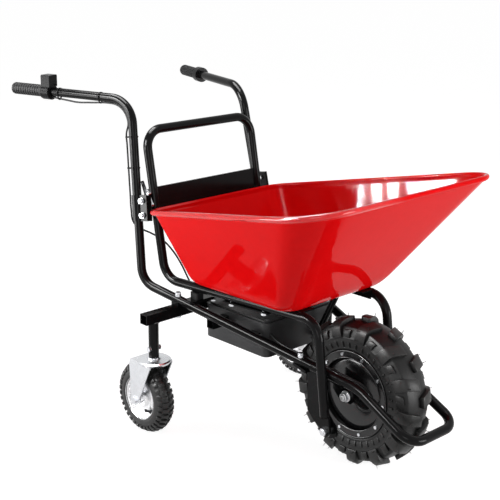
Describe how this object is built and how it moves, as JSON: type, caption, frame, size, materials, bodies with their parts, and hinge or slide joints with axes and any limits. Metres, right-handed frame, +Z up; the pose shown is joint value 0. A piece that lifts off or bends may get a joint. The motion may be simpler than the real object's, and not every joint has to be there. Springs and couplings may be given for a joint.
{
  "type": "powered wheelbarrow",
  "caption": "Tipping wheelbarrow with a driven front wheel, swivel casters behind, battery under a flared red tray, push handles and a lift loop.",
  "frame": {"origin": "on the ground under the middle of the overall length and width", "axes": "+X forward, the way the tray tips; +Y to the driver's left; +Z up"},
  "size_m": [1.3418, 0.7164, 0.944],
  "materials": {
    "frame_black": "gloss black powder coat",
    "zinc": "bright zinc plate",
    "rubber_black": "matt",
    "box_plastic": "satin dark grey",
    "grip_rubber": "ribbed dark grey",
    "control_plastic": "gloss black",
    "face_plastic": "pale grey",
    "tray_red": "high gloss red",
    "tyre_black": "moulded rubber",
    "hub_black": "black painted casting",
    "rim_silver": "bright silver"
  },
  "bodies": {
    "chassis": {"chassis_tube": "frame_black", "handle_tube_right": "frame_black", "handle_tube_left": "frame_black", "clamp_outer_right": "frame_black", "clamp_inner_right": "frame_black", "clamp_outer_left": "frame_black", "clamp_inner_left": "frame_black", "clamp_bolts": "zinc", "caster_bar": "frame_black", "bar_bolts": "zinc", "caster_stem_right": "zinc", "caster_stem_left": "zinc", "dropout_right": "frame_black", "dropout_left": "frame_black", "drive_axle": "zinc", "axle_nuts": "zinc", "cable_boot": "rubber_black", "pivot_plate_right": "frame_black", "pivot_plate_left": "frame_black", "pivot_bolts": "zinc", "rest_bar": "frame_black", "rest_pads": "rubber_black", "battery_box": "box_plastic", "battery_lid": "box_plastic", "lid_screws": "zinc", "battery_cradle": "frame_black", "prop_bar": "frame_black", "tray_prop": "frame_black", "grip_left": "grip_rubber", "bar_collar_left": "control_plastic", "throttle_housing": "control_plastic", "gauge_box": "control_plastic", "gauge_face": "face_plastic", "throttle_cable": "rubber_black", "motor_cable": "rubber_black", "latch_plate": "frame_black", "latch_screw": "zinc"},
    "drive_wheel": {"drive_tyre": "tyre_black", "hub_shell": "hub_black", "hub_cover_right": "hub_black", "hub_cover_left": "hub_black", "hub_screws": "zinc"},
    "tray": {"tray_shell": "tray_red", "tray_frame": "frame_black", "latch_peg": "zinc", "rear_panel": "frame_black", "cross_plate": "frame_black", "front_brackets": "frame_black", "tray_bolts": "zinc"},
    "caster_swivel_right": {"caster_fork_right": "zinc", "caster_axle_right": "zinc"},
    "caster_swivel_left": {"caster_fork_left": "zinc", "caster_axle_left": "zinc"},
    "caster_wheel_right": {"caster_tyre_right": "tyre_black", "caster_rim_right": "rim_silver"},
    "caster_wheel_left": {"caster_tyre_left": "tyre_black", "caster_rim_left": "rim_silver"},
    "throttle": {"throttle_grip": "grip_rubber"},
    "latch": {"latch_hook": "zinc"},
    "rocker": {"rocker_switch": "control_plastic"}
  },
  "joints": [
    {"name": "drive_roll", "type": "hinge", "parent": "chassis", "child": "drive_wheel", "pos_m": [0.42244, 0, 0.2], "axis": [0, 1, 0], "continuous": true},
    {"name": "tray_tip", "type": "hinge", "parent": "chassis", "child": "tray", "pos_m": [0.41744, 0, 0.123], "axis": [0, 1, 0], "range_deg": [0, 80]},
    {"name": "caster_swivel_right", "type": "hinge", "parent": "chassis", "child": "caster_swivel_right", "pos_m": [-0.06356, -0.304, 0.22], "axis": [0, 0, 1], "continuous": true},
    {"name": "caster_swivel_left", "type": "hinge", "parent": "chassis", "child": "caster_swivel_left", "pos_m": [-0.06356, 0.304, 0.22], "axis": [0, 0, 1], "continuous": true},
    {"name": "caster_roll_right", "type": "hinge", "parent": "caster_swivel_right", "child": "caster_wheel_right", "pos_m": [-0.09956, -0.304, 0.103], "axis": [0, 1, 0], "continuous": true},
    {"name": "caster_roll_left", "type": "hinge", "parent": "caster_swivel_left", "child": "caster_wheel_left", "pos_m": [-0.09956, 0.304, 0.103], "axis": [0, 1, 0], "continuous": true},
    {"name": "throttle_twist", "type": "hinge", "parent": "chassis", "child": "throttle", "pos_m": [-0.66656, -0.323, 0.896], "axis": [-0.9594, -0.282, 0], "range_deg": [0, 60], "stiffness_Nm_per_rad": 0.3},
    {"name": "latch_turn", "type": "hinge", "parent": "chassis", "child": "latch", "pos_m": [-0.18014, -0.21279, 0.61799], "axis": [0.0132, 0.997, -0.0764], "range_deg": [0, 12]},
    {"name": "rocker_tip", "type": "hinge", "parent": "chassis", "child": "rocker", "pos_m": [-0.54941, -0.2698, 0.9315], "axis": [0, 0, 1], "range_deg": [-8, 8]}
  ]
}
